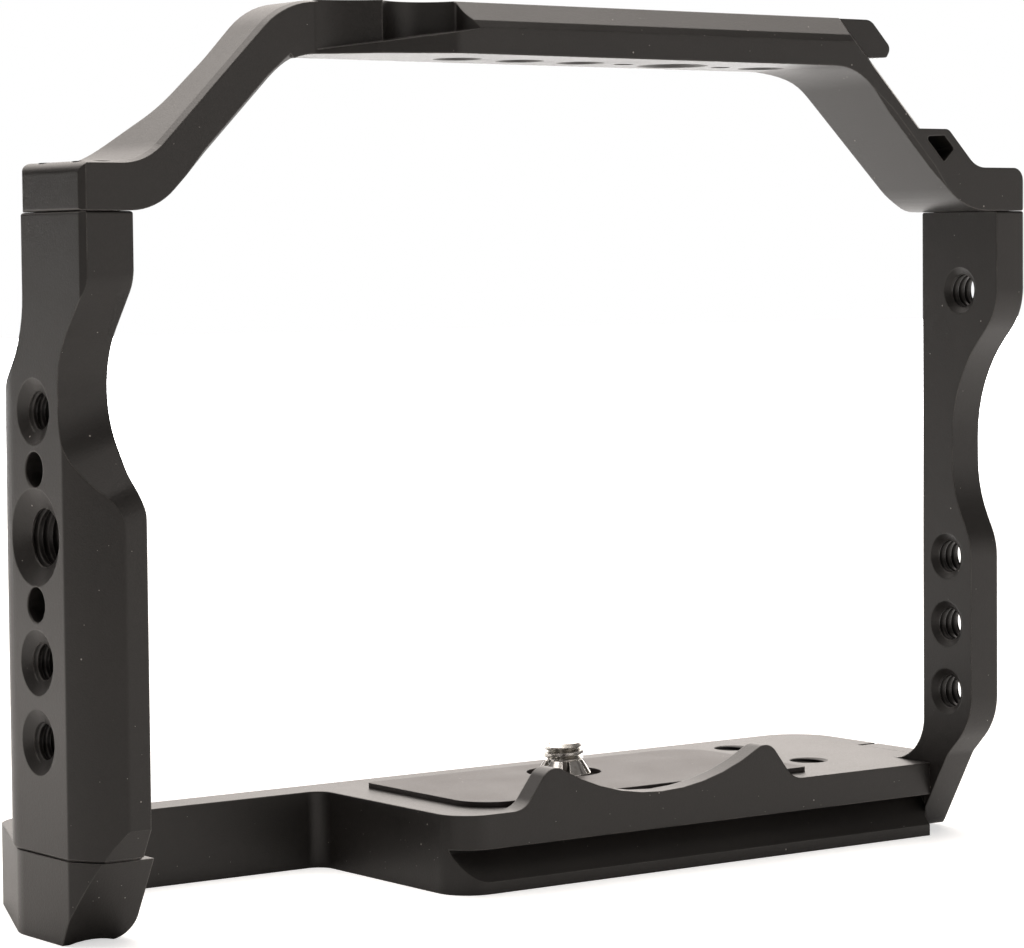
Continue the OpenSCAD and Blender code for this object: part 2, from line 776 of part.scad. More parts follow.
// Plan of the far post's foot: its inner face turns outwards along the base's pocket
module far_foot_plan() {
    polygon([
        [far_in, front_y - 1],
        [tab_x, front_y - 1],
        [tab_x, tab_y[1]],
        [tab_in, tab_y[1]],
        [tab_in, tab_y[0] + 11.5],
        [far_in + 1.6, tab_y[0] + 2.9],
        [far_in, tab_y[0] + 1.3]
    ]);
}

module far_side_post() {
    color(ANODISED) difference() {
        intersection() {
            along_x(far_in, tab_x) far_side_view();
            union() {
                along_z(base_h, seam_z) translate([far_in, front_y]) square([far_t, cage_d]);
                difference() {
                    along_z(0, base_h) far_foot_plan();
                    tab_front_cut();
                }
            }
        }
        translate([far_in, far_upper_y, far_upper_z]) rotate([0, 90, 0])
            sunk_bore(quarter_bore, far_t, plain_sink, plain_sink);
        for (i = [0, 1, 2]) translate([far_in, far_hole_y, far_row_z + i * far_row_pitch]) rotate([0, 90, 0])
            sunk_bore(quarter_bore, far_t, plain_sink, plain_sink);
        for (i = [0, 1]) {
            at_far_top(i) sunk_screw_room(slim_screw_d, slim_head_d, top_screw_len, far_block_h);
            at_far_tab(i) sunk_screw_room(joint_screw_d, joint_head_d, sink_len, tab_wall + 1);
        }
        at_far_top_dowel() dowel_hole();
        at_far_tab_dowel() dowel_hole();
    }
}

// ---- Base plate ----

module base_plan() {
    bar_y = rear_y - rear_bar_t;
    arm_run = side_arm_t * norm([1, arm_lean]);
    outline([
        [block_x, block_y, 5.75],
        [far_in, block_y, 0],
        [far_in, tab_y[0] + 1.2, 0],
        [far_in + 1.55, tab_y[0] + 2.9, 0],
        [tab_in - seam_gap, tab_y[0] + 11.5, 0],
        [tab_in - seam_gap, tab_y[1] + seam_gap, 0],
        [tab_x, tab_y[1] + seam_gap, 0],
        [tab_x, rear_y, 8],
        [grip_x + (rear_y - lean_y) * arm_lean, rear_y, 8],
        [grip_x, lean_y, 9],
        [grip_x, grip_y, 0],
        [foot_in, grip_y, 0],
        [foot_in, lean_y + (foot_in - grip_x - arm_run) / arm_lean, 3],
        [grip_x + (bar_y - lean_y) * arm_lean + arm_run, bar_y, 3],
        [block_x, bar_y, 2.75]
    ]);
}

// Flange on the base's front edge, with the cut-out that clears the lens
module flange_profile() {
    peak_x = 21.5;
    foot_x = peak_x + 5.2;
    edge = 19.5;
    low_z = base_h + 0.5;
    swing = asin(edge / flange_r);
    n = ceil(2 * swing / arc_step);
    skirt = 2.6;
    peak_r = 2.8;
    outline([
        [lens_x - foot_x - skirt, base_h - 4, 0],
        [lens_x + foot_x + skirt, base_h - 4, 0],
        [lens_x + foot_x + skirt, base_h, 0],
        [lens_x + foot_x, base_h, 4],
        [lens_x + peak_x, base_h + flange_h, peak_r],
        for (i = [0:n]) let (a = swing - 2 * swing * i / n)
            [lens_x + flange_r * sin(a), low_z + flange_r * (1 - cos(a)), 0],
        [lens_x - peak_x, base_h + flange_h, peak_r],
        [lens_x - foot_x, base_h, 4],
        [lens_x - foot_x - skirt, base_h, 0]
    ]);
}

module dovetail_groove() {
    back = groove_top - 0.7;
    along_x(block_x - 10, far_in + 1) polygon([
        [block_y - 4, groove_low], [block_y, groove_low],
        [block_y + (back - groove_low) / tan(groove_floor), back],
        [block_y + groove_d, groove_top], [block_y - 4, groove_top]
    ]);
}

module base_plate() {
    color(ANODISED) difference() {
        union() {
            along_z(0, base_h) base_plan();
            along_y(block_y, block_y + flange_t) flange_profile();
        }
        dovetail_groove();
        bevel_cut(-1, base_h + 1);
        foot_facet();
        foot_underside_cut();
        // Seat of the camera screw: recess, web with a clearance hole, counterbore for the head
        translate([lens_x, screw_y, 0]) {
            translate([0, 0, web_top]) cylinder(d = seat_d, h = base_h);
            translate([0, 0, -1]) cylinder(d = thread_d + 2 * screw_gap, h = base_h);
            translate([0, 0, -1]) cylinder(d = head_d + 4 * screw_gap, h = web_low + 1);
        }
        for (y = base_hole_y) translate([base_hole_x, y, 0])
            sunk_bore(quarter_bore, base_h, thread_d + 0.3, plain_sink);
        for (i = [0, 1]) {
            at_grip_foot(i) {
                translate([0, 0, -foot_sink]) cylinder(d = foot_head_d + 2 * screw_gap, h = foot_sink + 1);
                translate([0, 0, -base_h - 1]) cylinder(d = foot_screw_d + 2 * screw_gap, h = base_h);
            }
            at_far_tab(i) sunk_screw_room(joint_screw_d, joint_head_d, sink_len, tab_wall);
        }
        at_grip_foot_dowel() dowel_hole();
        at_far_tab_dowel() dowel_hole();
    }
}

// ---- Pad, camera screw and clip ----

module rubber_pad() {
    pad_x = lens_x - 31.55;
    pad_y = block_y + flange_t + 1.6;
    wide_r = 6.5;
    tight_r = 1;
    color(RUBBER) along_z(base_h, base_h + pad_t) difference() {
        outline([
            [pad_x, pad_y, wide_r], [pad_x + pad_w, pad_y, tight_r],
            [pad_x + pad_w, pad_y + pad_d, wide_r], [pad_x, pad_y + pad_d, tight_r]
        ]);
        translate([lens_x, screw_y]) circle(d = seat_d + 0.1);
    }
}

module camera_screw() {
    neck_z = clip_z - 0.1;
    neck_h = clip_t + clip_tab_h + 0.35;
    neck_top = neck_z + neck_h;
    tip = 0.6;
    edge = 0.4;
    slot_w = 1.8;
    slot_d = 1.7;
    color(STEEL) translate([lens_x, screw_y, 0]) difference() {
        union() {
            cylinder(d1 = head_d - 2 * edge, d2 = head_d, h = edge);
            translate([0, 0, edge]) cylinder(d = head_d, h = head_h - 2 * edge);
            translate([0, 0, head_h - edge]) cylinder(d1 = head_d, d2 = head_d - 2 * edge, h = edge);
            cylinder(d = thread_d, h = neck_z);
            cylinder(d = neck_d, h = neck_top + eps);
            translate([0, 0, neck_top]) cylinder(d = thread_d, h = screw_len - tip - neck_top);
            translate([0, 0, screw_len - tip]) cylinder(d1 = thread_d, d2 = thread_d - 2 * tip, h = tip);
        }
        translate([0, 0, slot_d / 2 - eps]) cube([head_d + 2, slot_w, slot_d], center = true);
    }
}

// Push-on clip: a ring in the screw's neck with fingers bent up and inwards along it
module retaining_clip() {
    fingers = 6;
    finger_gap = 1.1;
    inner = neck_d / 2 + neck_gap;
    tip = inner + 0.15;
    color(STEEL) translate([lens_x, screw_y, clip_z]) difference() {
        rotate_extrude() polygon([
            [inner, 0], [clip_d / 2, 0], [clip_d / 2, clip_t], [tip + 0.4, clip_t + clip_tab_h],
            [tip, clip_t + clip_tab_h], [clip_d / 2 - 0.5, clip_t], [inner, clip_t]
        ]);
        for (i = [0:fingers - 1]) rotate(360 / fingers * i) translate([2.7, -finger_gap / 2, clip_t])
            cube([4, finger_gap, clip_tab_h + 1]);
    }
}

top_frame();
grip_side_post();
far_side_post();
base_plate();
rubber_pad();
camera_screw();
retaining_clip();
grip_top_screw(0);  // grip_top_screw_front
grip_top_screw(1);  // grip_top_screw_rear
far_top_screw(0);  // far_top_screw_front
far_top_screw(1);  // far_top_screw_rear
grip_base_screw(0);  // grip_base_screw_front
grip_base_screw(1);  // grip_base_screw_rear
far_base_screw(0);  // far_base_screw_front
far_base_screw(1);  // far_base_screw_rear
color(STEEL) at_grip_top_dowel() dowel();  // grip_top_dowel
color(STEEL) at_far_top_dowel() dowel();  // far_top_dowel
color(STEEL) at_grip_foot_dowel() dowel();  // grip_base_dowel
color(STEEL) at_far_tab_dowel() dowel();  // far_base_dowel
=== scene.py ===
"""Looks of the camera cage: four machined, black anodised frame pieces, a rubber pad, a captive
steel screw with its clip, and the screws and dowels that join the frame.

Metres, in the frame's own axes: X across the cage from the grip side, Y from the lens side to the
rear, Z up.
"""

import json
import math

import bmesh
import bpy
from mathutils import Matrix, Vector


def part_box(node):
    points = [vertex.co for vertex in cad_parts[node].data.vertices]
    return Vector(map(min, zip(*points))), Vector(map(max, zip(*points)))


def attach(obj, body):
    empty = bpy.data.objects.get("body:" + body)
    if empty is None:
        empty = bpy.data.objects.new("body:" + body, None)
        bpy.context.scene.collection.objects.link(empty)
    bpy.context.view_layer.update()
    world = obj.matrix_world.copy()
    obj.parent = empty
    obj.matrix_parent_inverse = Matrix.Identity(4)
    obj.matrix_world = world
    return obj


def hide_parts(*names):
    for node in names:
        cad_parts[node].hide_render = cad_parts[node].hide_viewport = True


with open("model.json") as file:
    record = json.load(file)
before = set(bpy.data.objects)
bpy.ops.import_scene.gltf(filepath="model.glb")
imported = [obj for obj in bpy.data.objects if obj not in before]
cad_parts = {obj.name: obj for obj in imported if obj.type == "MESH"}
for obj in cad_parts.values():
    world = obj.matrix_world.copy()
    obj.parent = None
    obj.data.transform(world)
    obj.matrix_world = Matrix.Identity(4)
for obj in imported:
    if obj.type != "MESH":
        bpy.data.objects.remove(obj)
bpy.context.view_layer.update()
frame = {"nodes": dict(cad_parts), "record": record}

MM = 0.001

# ---- Camera ----

CAMERA_PLACE = Vector((-0.32995, -0.4545, 0.0946))
CAMERA_TURN = math.radians(-36.05)
CAMERA_DROP = math.radians(3.289)
CAMERA_ROLL = math.radians(-0.53)
LENS_MM = 127.55
SENSOR_MM = 36


def place_camera():
    """The camera, at its own place and three angles."""
    back = Vector((
        math.sin(CAMERA_TURN) * math.cos(CAMERA_DROP),
        -math.cos(CAMERA_TURN) * math.cos(CAMERA_DROP),
        math.sin(CAMERA_DROP),
    ))
    level = Vector((math.cos(CAMERA_TURN), math.sin(CAMERA_TURN), 0))
    rise = back.cross(level)
    right = level * math.cos(CAMERA_ROLL) + rise * math.sin(CAMERA_ROLL)
    up = rise * math.cos(CAMERA_ROLL) - level * math.sin(CAMERA_ROLL)
    data = bpy.data.cameras.new("camera")
    data.sensor_width = SENSOR_MM
    data.lens = LENS_MM
    camera = bpy.data.objects.new("camera", data)
    turn = Matrix((right, up, back)).transposed().to_4x4()
    camera.matrix_world = Matrix.Translation(CAMERA_PLACE) @ turn
    bpy.context.scene.collection.objects.link(camera)
    bpy.context.scene.camera = camera


place_camera()

# ---- Node graphs ----


class Link:
    """A node's output. Arithmetic on it adds Math nodes."""

    def __init__(self, graph, socket):
        self.graph = graph
        self.socket = socket

    def out(self, name):
        """Another output of the same node."""
        return Link(self.graph, self.socket.node.outputs[name])

    def __add__(self, other):
        return self.graph.maths("ADD", self, other)

    def __sub__(self, other):
        return self.graph.maths("SUBTRACT", self, other)

    def __mul__(self, other):
        return self.graph.maths("MULTIPLY", self, other)

    def __rsub__(self, other):
        return self.graph.maths("SUBTRACT", other, self)

    __radd__ = __add__
    __rmul__ = __mul__


class Graph:
    """A shader or geometry node tree that is being built."""

    def __init__(self, tree):
        self.tree = tree
        tree.nodes.clear()

    def node(self, kind, settings=None, inputs=None, output=0):
        """Adds a node: its settings first, then its sockets' values or links. Gives one output."""
        made = self.tree.nodes.new(kind)
        for name, value in (settings or {}).items():
            setattr(made, name, value)
        for name, value in (inputs or {}).items():
            if isinstance(value, Link):
                self.tree.links.new(value.socket, made.inputs[name])
            else:
                made.inputs[name].default_value = value
        return Link(self, made.outputs[output]) if len(made.outputs) else None

    def maths(self, operation, first, second):
        return self.node("ShaderNodeMath", {"operation": operation}, {0: first, 1: second})

    def ramp(self, value, low, high, start=0.0, end=1.0):
        """Start to end, smoothly, while the value goes from low to high."""
        return self.node("ShaderNodeMapRange", {"interpolation_type": "SMOOTHSTEP"}, {
            "Value": value, "From Min": low, "From Max": high, "To Min": start, "To Max": end})

    def mix(self, factor, first, second):
        """Colour between two colours. The sockets go by number, because their names repeat."""
        inputs = {0: factor, 6: first, 7: second}
        return self.node("ShaderNodeMix", {"data_type": "RGBA"}, inputs, 2)

    def dot(self, first, second):
        """Dot product of two vectors."""
        settings = {"operation": "DOT_PRODUCT"}
        return self.node("ShaderNodeVectorMath", settings, {0: first, 1: second}, "Value")

    def noise(self, place, size, detail, rough=0.5):
        """Noise whose lumps are about this size in metres."""
        return self.node("ShaderNodeTexNoise", None, {
            "Vector": place, "Scale": 1 / size, "Detail": detail, "Roughness": rough})


# ---- Finishes ----

BEVEL_SAMPLES = 6
# How far the rounded normal has turned, as one less its cosine, where an edge begins and is full
EDGE_BEGINS, EDGE_FULL = 0.006, 0.09
SPECK_CORE = 0.55
CHANCE_BLUR = 0.02

# Linear red, green, blue and alpha
DUST_COLOUR = (0.34, 0.32, 0.30, 1)
# Paler colour for the rounded edges: partly rubbed wear, partly a painted edge highlight
EDGE_WEAR_AND_HIGHLIGHT_COLOUR = (0.16, 0.152, 0.145, 1)
ANODISED_DARK, ANODISED_PALE = (0.0095, 0.0086, 0.0080, 1), (0.0165, 0.0148, 0.0137, 1)
RUBBER_DARK, RUBBER_PALE = (0.026, 0.021, 0.020, 1), (0.040, 0.033, 0.031, 1)
OXIDE_DARK, OXIDE_RUBBED = (0.018, 0.018, 0.020, 1), (0.09, 0.085, 0.08, 1)
STEEL_STAINED, STEEL_CLEAN = (0.50, 0.48, 0.44, 1), (0.80, 0.79, 0.76, 1)
CLIP_STAINED, CLIP_CLEAN = (0.62, 0.60, 0.57, 1), (0.88, 0.87, 0.85, 1)


def finish(name, paint):
    """A material whose Principled shader gets what paint(graph, place) returns."""
    material = bpy.data.materials.new(name)
    material.use_nodes = True
    graph = Graph(material.node_tree)
    place = graph.node("ShaderNodeTexCoord", output="Object")
    shader = graph.node("ShaderNodeBsdfPrincipled", None, paint(graph, place))
    graph.node("ShaderNodeOutputMaterial", None, {"Surface": shader})
    return material


def dust(graph, place, cell, radius, share):
    """Mask of small specks: at most one in each cell, and only in this share of the cells."""
    inputs = {"Vector": place, "Scale": 1 / cell}
    cells = graph.node("ShaderNodeTexVoronoi", None, inputs, "Distance")
    chance = graph.node("ShaderNodeSeparateColor", None, {"Color": cells.out("Color")}, "Red")
    size = radius / cell
    near = graph.ramp(cells, size * SPECK_CORE, size, 1.0, 0.0)
    return near * graph.ramp(chance, 1 - share - CHANCE_BLUR, 1 - share)


def rounded(graph, radius):
    """(normal that rounds the edges to this radius, mask of those edges)"""
    soft = graph.node("ShaderNodeBevel", {"samples": BEVEL_SAMPLES}, {"Radius": radius})
    flat = graph.node("ShaderNodeNewGeometry", output="Normal")
    return soft, graph.ramp(1 - graph.dot(soft, flat), EDGE_BEGINS, EDGE_FULL)


def bumps(graph, height, distance, normal):
    """The normal, tilted by bumps of this depth in metres."""
    inputs = {"Height": height, "Distance": distance, "Normal": normal}
    return graph.node("ShaderNodeBump", None, inputs)


def anodised(graph, place):
    """Bead-blasted, black anodised aluminium, thinner and a little rubbed along its edges, where
    its colour is also paler as a painted edge highlight.
    """
    cloud = graph.noise(place, 26 * MM, 3.0, 0.55)
    patch = graph.noise(place, 5 * MM, 3.0)
    grain = graph.noise(place, 0.3 * MM, 3.0, 0.6)
    coarse = dust(graph, place, cell=3.2 * MM, radius=0.16 * MM, share=0.5)
    fine = dust(graph, place, cell=1.3 * MM, radius=0.075 * MM, share=0.3)
    speck = coarse + fine
    soft, edge = rounded(graph, 0.32 * MM)
    tone = graph.ramp(cloud * 0.6 + grain * 0.4, 0.3, 0.7)
    colour = graph.mix(tone, ANODISED_DARK, ANODISED_PALE)
    # Paler colour in patches along the rounded edges: partly rubbed wear, partly a painted edge
    # highlight
    rubbed = edge * graph.ramp(patch, 0.3, 0.7, 0.15, 0.6)
    colour = graph.mix(rubbed, colour, EDGE_WEAR_AND_HIGHLIGHT_COLOUR)
    return {
        "Base Color": graph.mix(speck, colour, DUST_COLOUR),
        "Roughness": 0.40 + 0.1 * (cloud - 0.5) + 0.16 * (grain - 0.5) - 0.08 * edge + 0.3 * speck,
        "Normal": bumps(graph, grain + 0.8 * speck, 0.026 * MM, soft),
        "IOR": 1.5,
    }


def rubber(graph, place):
    """Dull, fine-grained rubber with some dust on it."""
    cloud = graph.noise(place, 9 * MM, 3.0)
    grain = graph.noise(place, 0.25 * MM, 3.0, 0.65)
    speck = dust(graph, place, cell=2.6 * MM, radius=0.15 * MM, share=0.5)
    colour = graph.mix(graph.ramp(cloud, 0.3, 0.7), RUBBER_DARK, RUBBER_PALE)
    return {
        "Base Color": graph.mix(speck, colour, DUST_COLOUR),
        "Roughness": 0.50 + 0.14 * (cloud - 0.5) + 0.12 * (grain - 0.5),
        "Normal": bumps(graph, grain, 0.03 * MM, rounded(graph, 0.25 * MM)[0]),
        "IOR": 1.5,
    }


def turned_steel(stained, clean, roughness, ring):
    """Turned steel with stains and fine rings, one above the other, of this width in metres."""

    def paint(graph, place):
        cloud = graph.noise(place, 3 * MM, 3.0)
        fine = graph.noise(place, 0.12 * MM, 2.0)
        height = graph.node("ShaderNodeSeparateXYZ", None, {"Vector": place}, "Z")
        rings = graph.node("ShaderNodeTexNoise", {"noise_dimensions": "1D"}, {
            "W": height, "Scale": 1 / ring, "Detail": 2.0})
        stain = graph.ramp(cloud, 0.42, 0.72)
        return {
            "Base Color": graph.mix(stain, clean, stained),
            "Metallic": 1.0,
            "Roughness": roughness + 0.16 * (cloud - 0.45) + 0.1 * (fine - 0.5),
            "Normal": bumps(graph, rings + 0.3 * fine, 0.006 * MM, rounded(graph, 0.12 * MM)[0]),
        }

    return paint


def black_oxide(graph, place):
    """Blackened steel, rubbed to bare metal here and there."""
    cloud = graph.noise(place, 1.6 * MM, 3.0)
    fine = graph.noise(place, 0.15 * MM, 2.0)
    rubbed = graph.ramp(cloud, 0.56, 0.8, 0.0, 0.5)
    return {
        "Base Color": graph.mix(rubbed, OXIDE_DARK, OXIDE_RUBBED),
        "Metallic": 0.55,
        "Roughness": 0.36 + 0.2 * (cloud - 0.5) + 0.1 * (fine - 0.5),
        "Normal": bumps(graph, fine, 0.008 * MM, rounded(graph, 0.12 * MM)[0]),
    }


ANODISED = finish("black_anodised", anodised)
RUBBER = finish("pad_rubber", rubber)
STEEL = finish("screw_steel", turned_steel(STEEL_STAINED, STEEL_CLEAN, 0.22, 0.16 * MM))
CLIP_STEEL = finish("clip_steel", turned_steel(CLIP_STAINED, CLIP_CLEAN, 0.17, 0.5 * MM))
BLACK_STEEL = finish("black_oxide_steel", black_oxide)

# ---- Meshes ----

MERGE = 0.002 * MM
SOFT_EDGE = math.radians(10)
# Cosines: two faces that lie this close to each other are one flat, and a corner's smooth normal
# that leans further than this from its face gives way to the face's own
FLAT = math.cos(math.radians(0.4))
LEAN = 0.5


def add_object(name, mesh):
    piece = bpy.data.objects.new(name, mesh)
    bpy.context.scene.collection.objects.link(piece)
    return piece


def copied(node, name):
    """A copy of a CAD node, closed by merging its loose triangles' corners, with no material."""
    work = bmesh.new()
    work.from_mesh(frame["nodes"][node].data)
    bmesh.ops.remove_doubles(work, verts=work.verts, dist=MERGE)
    mesh = bpy.data.meshes.new(name)
    work.to_mesh(mesh)
    work.free()
    mesh.materials.clear()
    return add_object(name, mesh)


def settle(piece):
    """Works the piece's modifiers into its mesh."""
    depsgraph = bpy.context.evaluated_depsgraph_get()
    mesh = bpy.data.meshes.new_from_object(piece.evaluated_get(depsgraph))
    mesh.name = piece.name
    piece.modifiers.clear()
    old = piece.data
    piece.data = mesh
    bpy.data.meshes.remove(old)


def flat_areas(work):
    """For each face, its normal times the whole area of the flat that it belongs to."""
    whole = {}
    for first in work.faces:
        if first.index in whole:
            continue
        found, waiting = {first.index}, [first]
        area = 0.0
        members = []
        while waiting:
            face = waiting.pop()
            members.append(face)
            area += face.calc_area()
            for edge in face.edges:
                for other in edge.link_faces:
                    new = other.index not in found and other.index not in whole
                    if new and other.normal.dot(first.normal) > FLAT:
                        found.add(other.index)
                        waiting.append(other)
        for face in members:
            whole[face.index] = face.normal * area
    return whole


def smooth(piece):
    """Smooth shading up to the soft edge angle, where a flat counts with its whole area."""
    mesh = piece.data
    mesh.shade_smooth()
    work = bmesh.new()
    work.from_mesh(mesh)
    work.normal_update()
    whole = flat_areas(work)
    sharp = {edge for edge in work.edges
             if len(edge.link_faces) != 2 or edge.calc_face_angle(math.pi) > SOFT_EDGE}
    normals = [None] * len(mesh.loops)
    for vert in work.verts:
        left = list(vert.link_loops)
        while left:
            fan, waiting = [], [left.pop()]
            while waiting:
                loop = waiting.pop()
                fan.append(loop)
                for edge in (loop.edge, loop.link_loop_prev.edge):
                    if edge in sharp:
                        continue
                    for face in edge.link_faces:
                        for other in face.loops:
                            if other.vert == vert and other in left:
                                left.remove(other)
                                waiting.append(other)
            flats = {whole[loop.face.index].to_tuple(): whole[loop.face.index] for loop in fan}
            normal = sum(flats.values(), Vector((0, 0, 0))).normalized()
            for loop in fan:
                own = loop.face.normal
                normals[loop.index] = normal[:] if normal.dot(own) > LEAN else own[:]
    work.free()
    mesh.set_sharp_from_angle(angle=SOFT_EDGE)
    mesh.normals_split_custom_set(normals)


def cut(piece, cutters):
    """Takes the cutters' volume out of the piece."""
    tool = add_object("cutters", cutters)
    boolean = piece.modifiers.new("threads", "BOOLEAN")
    boolean.operation = "DIFFERENCE"
    boolean.solver = "MANIFOLD"
    boolean.object = tool
    settle(piece)
    bpy.data.objects.remove(tool)
    bpy.data.meshes.remove(cutters)


# ---- Threads ----

QUARTER = {"outer": 6.35 * MM / 2, "pitch": 1.27 * MM}
THREE_EIGHTHS = {"outer": 9.525 * MM / 2, "pitch": 1.5875 * MM}
STEPS_A_TURN = 40
# Height of the three-sided ridge, in radii of the circle round it
RIDGE_HEIGHT = 1.5
# How far a thread cutter reaches past the face that it cuts
OVERCUT = 0.12 * MM
THREAD_MERGE = MERGE / 10


def thread_tree():
    """Geometry Nodes: a right-handed helix with a 60 degree ridge, whose apex points outwards, or
    inwards with half a turn."""
    tree = bpy.data.node_groups.new("thread_cutter", "GeometryNodeTree")
    graph = Graph(tree)
    for name in ("Middle Radius", "Ridge Radius", "Pitch", "Turns", "Turn"):
        tree.interface.new_socket(name, in_out="INPUT", socket_type="NodeSocketFloat")
    tree.interface.new_socket("Geometry", in_out="OUTPUT", socket_type="NodeSocketGeometry")
    inputs = graph.node("NodeGroupInput")
    turns = inputs.out("Turns")
    helix = graph.node("GeometryNodeCurveSpiral", None, {
        "Resolution": STEPS_A_TURN,
        "Rotations": turns,
        "Start Radius": inputs.out("Middle Radius"),
        "End Radius": inputs.out("Middle Radius"),
        "Height": turns * inputs.out("Pitch"),
        "Reverse": True,
    })
    upright = graph.node("GeometryNodeSetCurveNormal", {"mode": "Z_UP"}, {"Curve": helix})
    ridge = graph.node("GeometryNodeCurvePrimitiveCircle", None, {
        "Resolution": 3, "Radius": inputs.out("Ridge Radius")})
    turn = graph.node("ShaderNodeCombineXYZ", None, {"Z": inputs.out("Turn")})
    turned = graph.node("GeometryNodeTransform", None, {"Geometry": ridge, "Rotation": turn})
    swept = graph.node("GeometryNodeCurveToMesh", None, {
        "Curve": upright, "Profile Curve": turned, "Fill Caps": True})
    real = graph.node("GeometryNodeRealizeInstances", None, {"Geometry": swept})
    painted = graph.node("GeometryNodeSetMaterial", None, {
        "Geometry": real, "Material": ANODISED})
    graph.node("NodeGroupOutput", None, {"Geometry": painted})
    return tree


THREAD_TREE = thread_tree()


def thread_mesh(thread, apex, base, length, apex_outwards):
    """Mesh of a thread cutter about the Z axis, from z = 0 to its length.

    Its ridge stands between the radii of its apex and its base.
    """
    ridge = abs(apex - base) / RIDGE_HEIGHT
    middle = apex - ridge if apex_outwards else apex + ridge
    values = {
        "Middle Radius": middle,
        "Ridge Radius": ridge,
        "Pitch": thread["pitch"],
        "Turns": length / thread["pitch"],
        "Turn": 0.0 if apex_outwards else math.pi,
    }
    tool = add_object("thread", bpy.data.meshes.new("thread"))
    modifier = tool.modifiers.new("thread", "NODES")
    modifier.node_group = THREAD_TREE
    for item in THREAD_TREE.interface.items_tree:
        if item.in_out == "INPUT":
            modifier[item.identifier] = values[item.name]
    settle(tool)
    mesh = tool.data
    bpy.data.objects.remove(tool)
    return mesh


def joined(meshes, places, material):
    """One mesh of several, each closed, at its place and with its faces outwards."""
    work = bmesh.new()
    for mesh, place in zip(meshes, places):
        part = bmesh.new()
        part.from_mesh(mesh)
        bmesh.ops.transform(part, matrix=place, verts=part.verts)
        bmesh.ops.remove_doubles(part, verts=part.verts, dist=THREAD_MERGE)
        bmesh.ops.recalc_face_normals(part, faces=part.faces)
        moved = bpy.data.meshes.new("moved")
        part.to_mesh(moved)
        part.free()
        work.from_mesh(moved)
        bpy.data.meshes.remove(moved)
    whole = bpy.data.meshes.new("cutters")
    work.to_mesh(whole)
    work.free()
    whole.materials.append(material)
    return whole


# Thickness of each frame piece's wall where its tapped holes are
WALL = {
    "top_frame": 7.7 * MM,
    "grip_side_post": 9.4 * MM,
    "far_side_post": 5.75 * MM,
    "base_plate": 12.1 * MM,
}
# How far the far post's foot tab stands out beyond the wall above it
TAB_PROUD = 3.85 * MM


def outer_face(node):
    """Where the node's tapped wall has its outer face, along the axis of its holes."""
    low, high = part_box(node)
    return {
        "top_frame": high.z,
        "grip_side_post": low.x,
        "far_side_post": high.x - TAB_PROUD,
        "base_plate": low.z,
    }[node]


# The first word of a mount's name tells its node
NODE_OF_MOUNT = {
    "top": "top_frame",
    "grip": "grip_side_post",
    "far": "far_side_post",
    "base": "base_plate",
}
AXES = [Vector(axis) for axis in ((1, 0, 0), (0, 1, 0), (0, 0, 1))]
# A tapped bore with a greater radius than this has the 3/8 inch thread
QUARTER_BORE_LIMIT_MM = 3.5


def tapped_holes(node):
    """(place on the wall's outer face, outward axis, thread, bore radius) of each tapped hole of
    the node, from the record's mounts."""
    holes = []
    for mount in frame["record"]["mounts"]:
        if NODE_OF_MOUNT.get(mount["name"].split("_")[0]) != node:
            continue
        if mount["kind"] not in ("threaded_hole", "bolt_pattern") or "pins" in mount["name"]:
            continue
        dims = mount["dims"]
        radius = dims.get("r_mm", dims.get("hole_r_mm"))
        thread = THREE_EIGHTHS if radius > QUARTER_BORE_LIMIT_MM else QUARTER
        axis = Vector(mount["axis"])
        along = max(range(3), key=lambda i: abs(axis[i]))
        across = [side for i, side in enumerate(AXES) if i != along]
        middle = Vector(mount["pos_m"])
        spacing = Vector((0, 0, 0))
        for direction, key in zip(across, ("spacing_x_mm", "spacing_y_mm")):
            spacing += direction * dims.get(key, 0) * MM
        count = dims.get("count", 1)
        for i in range(count):
            place = middle + spacing * (i - (count - 1) / 2)
            place[along] = outer_face(node)
            if all((place - taken[0]).length > radius * MM for taken in holes):
                holes.append((place, axis, thread, radius * MM))
    return holes


def thread_cutters(node):
    """Cutters for all of the node's tapped holes, each a turn longer than the wall at both ends."""
    meshes, places = [], []
    for place, axis, thread, bore in tapped_holes(node):
        length = WALL[node] + 2 * thread["pitch"]
        meshes.append(thread_mesh(thread, thread["outer"], bore - OVERCUT, length, True))
        start = place - axis * (WALL[node] + thread["pitch"])
        turn = axis.to_track_quat("Z", "Y").to_matrix().to_4x4()
        places.append(Matrix.Translation(start) @ turn)
    whole = joined(meshes, places, ANODISED)
    for mesh in meshes:
        bpy.data.meshes.remove(mesh)
    return whole


# ---- Frame pieces ----


def machined(node):
    """An anodised frame piece: its CAD solid with its threads cut."""
    piece = copied(node, node + "_machined")
    piece.data.materials.append(ANODISED)
    cut(piece, thread_cutters(node))
    smooth(piece)
    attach(piece, "frame")
    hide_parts(node)


for frame_piece in WALL:
    machined(frame_piece)

# ---- Pad, clip and camera screw ----


def simple(node, name, material, body):
    """A piece that needs no more than its CAD solid, smoothed and painted."""
    piece = copied(node, name)
    piece.data.materials.append(material)
    smooth(piece)
    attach(piece, body)
    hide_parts(node)


simple("rubber_pad", "pad", RUBBER, "frame")
simple("retaining_clip", "clip", CLIP_STEEL, "clip")


SCREW_NECK_TOP = 15.15 * MM
SCREW_THREAD_ROOT = 2.45 * MM


